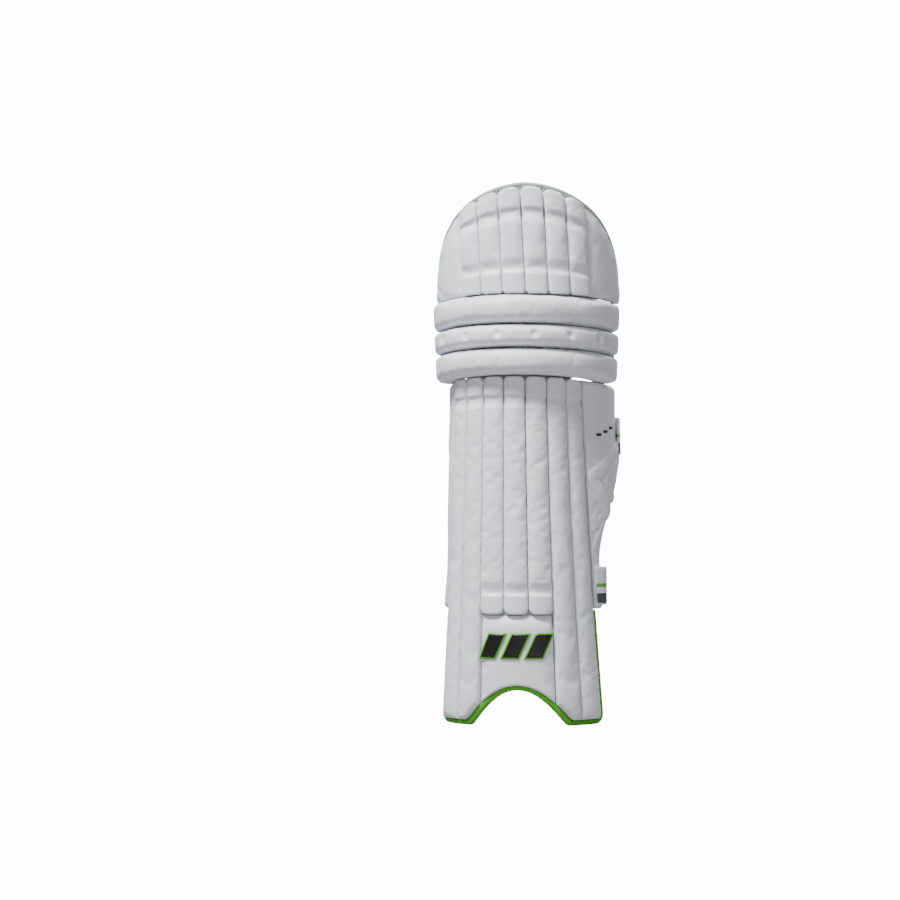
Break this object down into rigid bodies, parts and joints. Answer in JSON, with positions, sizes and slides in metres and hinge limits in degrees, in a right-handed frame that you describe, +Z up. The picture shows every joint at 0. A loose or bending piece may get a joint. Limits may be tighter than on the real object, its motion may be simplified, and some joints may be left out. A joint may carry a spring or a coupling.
{
  "type": "cricket leg pad",
  "caption": "Cricket batting leg pad with padded shin channels, hinged knee rolls, top flap, side wing and webbing straps.",
  "frame": {"origin": "bottom middle of the pad's box, on the surface that its two feet stand on", "axes": "+Z up the leg, -Y the front that meets the ball, +X the wearer's outer side with the wing and the loops"},
  "size_m": [0.2426, 0.1674, 0.7019],
  "materials": {
    "white_facing": "satin",
    "white_lining": "matte",
    "mesh_lining": "matte",
    "printed_lining": "matte",
    "cane": "matte",
    "foam": "matte",
    "black_lining": "satin",
    "green_binding": "satin",
    "black_piping": "satin",
    "grey_piping": "satin",
    "striped_webbing": "matte",
    "white_nylon": "satin"
  },
  "bodies": {
    "shin_guard": {"shin_backing": "white_lining", "shin_channel_1": "white_facing", "shin_channel_2": "white_facing", "shin_channel_3": "white_facing", "shin_channel_4": "white_facing", "shin_channel_5": "white_facing", "shin_channel_6": "white_facing", "shin_channel_7": "white_facing", "shin_cane_1": "cane", "shin_cane_2": "cane", "shin_cane_3": "cane", "shin_cane_4": "cane", "shin_cane_5": "cane", "shin_cane_6": "cane", "shin_cane_7": "cane", "instep_panel": "white_facing", "instep_lining": "black_lining", "instep_binding": "green_binding", "calf_cushion_inner": "mesh_lining", "calf_cushion_outer": "mesh_lining", "cushion_piping": "black_piping", "shin_strip": "mesh_lining", "inner_side_panel": "white_facing", "mid_strap": "striped_webbing", "low_strap": "striped_webbing", "knee_gusset_1": "white_lining"},
    "outer_wing": {"wing_panel": "white_facing", "wing_chevron_upper": "white_facing", "wing_chevron_lower": "white_facing", "mid_tab": "striped_webbing", "low_tab": "striped_webbing"},
    "mid_loop": {"mid_loop": "white_nylon"},
    "low_loop": {"low_loop": "white_nylon"},
    "knee_loop": {"knee_loop": "white_nylon"},
    "mid_tail": {"mid_tail": "striped_webbing"},
    "low_tail": {"low_tail": "striped_webbing"},
    "knee_tail": {"knee_tail": "striped_webbing"},
    "lower_roll": {"lower_roll_cover": "white_facing", "lower_roll_foam": "foam", "knee_gusset_2": "white_lining"},
    "middle_roll": {"middle_roll_cover": "white_facing", "middle_roll_foam": "foam", "knee_cushion": "white_lining", "knee_strap": "striped_webbing", "knee_tab": "striped_webbing", "knee_gusset_3": "white_lining"},
    "upper_roll": {"upper_roll_cover": "white_facing", "upper_roll_foam": "foam", "knee_gusset_4": "white_lining"},
    "top_flap": {"flap_backing": "white_lining", "flap_lining": "printed_lining", "flap_channel_1": "white_facing", "flap_channel_2": "white_facing", "flap_channel_3": "white_facing", "flap_channel_4": "white_facing", "flap_channel_5": "white_facing", "flap_channel_6": "white_facing", "flap_side_inner": "white_facing", "flap_side_outer": "white_facing", "flap_piping": "grey_piping"}
  },
  "joints": [
    {"name": "outer_wing_flex", "type": "hinge", "parent": "shin_guard", "child": "outer_wing", "pos_m": [0.09324, 0.00037, 0.15], "axis": [0.0532, 0.0261, -0.9982], "range_deg": [0, 15], "stiffness_Nm_per_rad": 0.3, "deforming": ["mid_strap", "low_strap"]},
    {"name": "mid_loop_turn", "type": "hinge", "parent": "outer_wing", "child": "mid_loop", "pos_m": [0.0867, 0.07847, 0.375], "axis": [0, 0, -1], "range_deg": [0, 12], "deforming": ["mid_strap"]},
    {"name": "low_loop_turn", "type": "hinge", "parent": "outer_wing", "child": "low_loop", "pos_m": [0.0767, 0.02047, 0.18], "axis": [0, 0, -1], "range_deg": [0, 12], "deforming": ["low_strap"]},
    {"name": "knee_loop_turn", "type": "hinge", "parent": "middle_roll", "child": "knee_loop", "pos_m": [0.0857, 0.05067, 0.487], "axis": [0, 0, -1], "range_deg": [0, 12], "deforming": ["knee_strap"]},
    {"name": "mid_tail_peel", "type": "hinge", "parent": "mid_loop", "child": "mid_tail", "pos_m": [0.0692, 0.08387, 0.375], "axis": [0, 0, -1], "range_deg": [0, 150]},
    {"name": "low_tail_peel", "type": "hinge", "parent": "low_loop", "child": "low_tail", "pos_m": [0.0592, 0.02587, 0.18], "axis": [0, 0, -1], "range_deg": [0, 150]},
    {"name": "knee_tail_peel", "type": "hinge", "parent": "knee_loop", "child": "knee_tail", "pos_m": [0.0682, 0.05607, 0.487], "axis": [0, 0, -1], "range_deg": [0, 150]},
    {"name": "knee_flex", "type": "hinge", "parent": "shin_guard", "child": "lower_roll", "pos_m": [-0.0073, 0.04247, 0.452], "axis": [-1, 0, 0], "range_deg": [0, 6], "stiffness_Nm_per_rad": 2, "deforming": ["knee_gusset_1"]},
    {"name": "middle_roll_tilt", "type": "hinge", "parent": "lower_roll", "child": "middle_roll", "pos_m": [-0.0073, 0.04247, 0.4885], "axis": [-1, 0, 0], "range_deg": [0, 6], "deforming": ["knee_gusset_2"]},
    {"name": "upper_roll_tilt", "type": "hinge", "parent": "middle_roll", "child": "upper_roll", "pos_m": [-0.0073, 0.04247, 0.519], "axis": [-1, 0, 0], "range_deg": [0, 6], "deforming": ["knee_gusset_3"]},
    {"name": "flap_tilt", "type": "hinge", "parent": "upper_roll", "child": "top_flap", "pos_m": [-0.0073, 0.04247, 0.557], "axis": [-1, 0, 0], "range_deg": [0, 6], "deforming": ["knee_gusset_4"]}
  ],
  "couplings": [
    {"joint": "middle_roll_tilt", "follows": "knee_flex", "ratio": 1},
    {"joint": "upper_roll_tilt", "follows": "knee_flex", "ratio": 1},
    {"joint": "flap_tilt", "follows": "knee_flex", "ratio": 1}
  ]
}
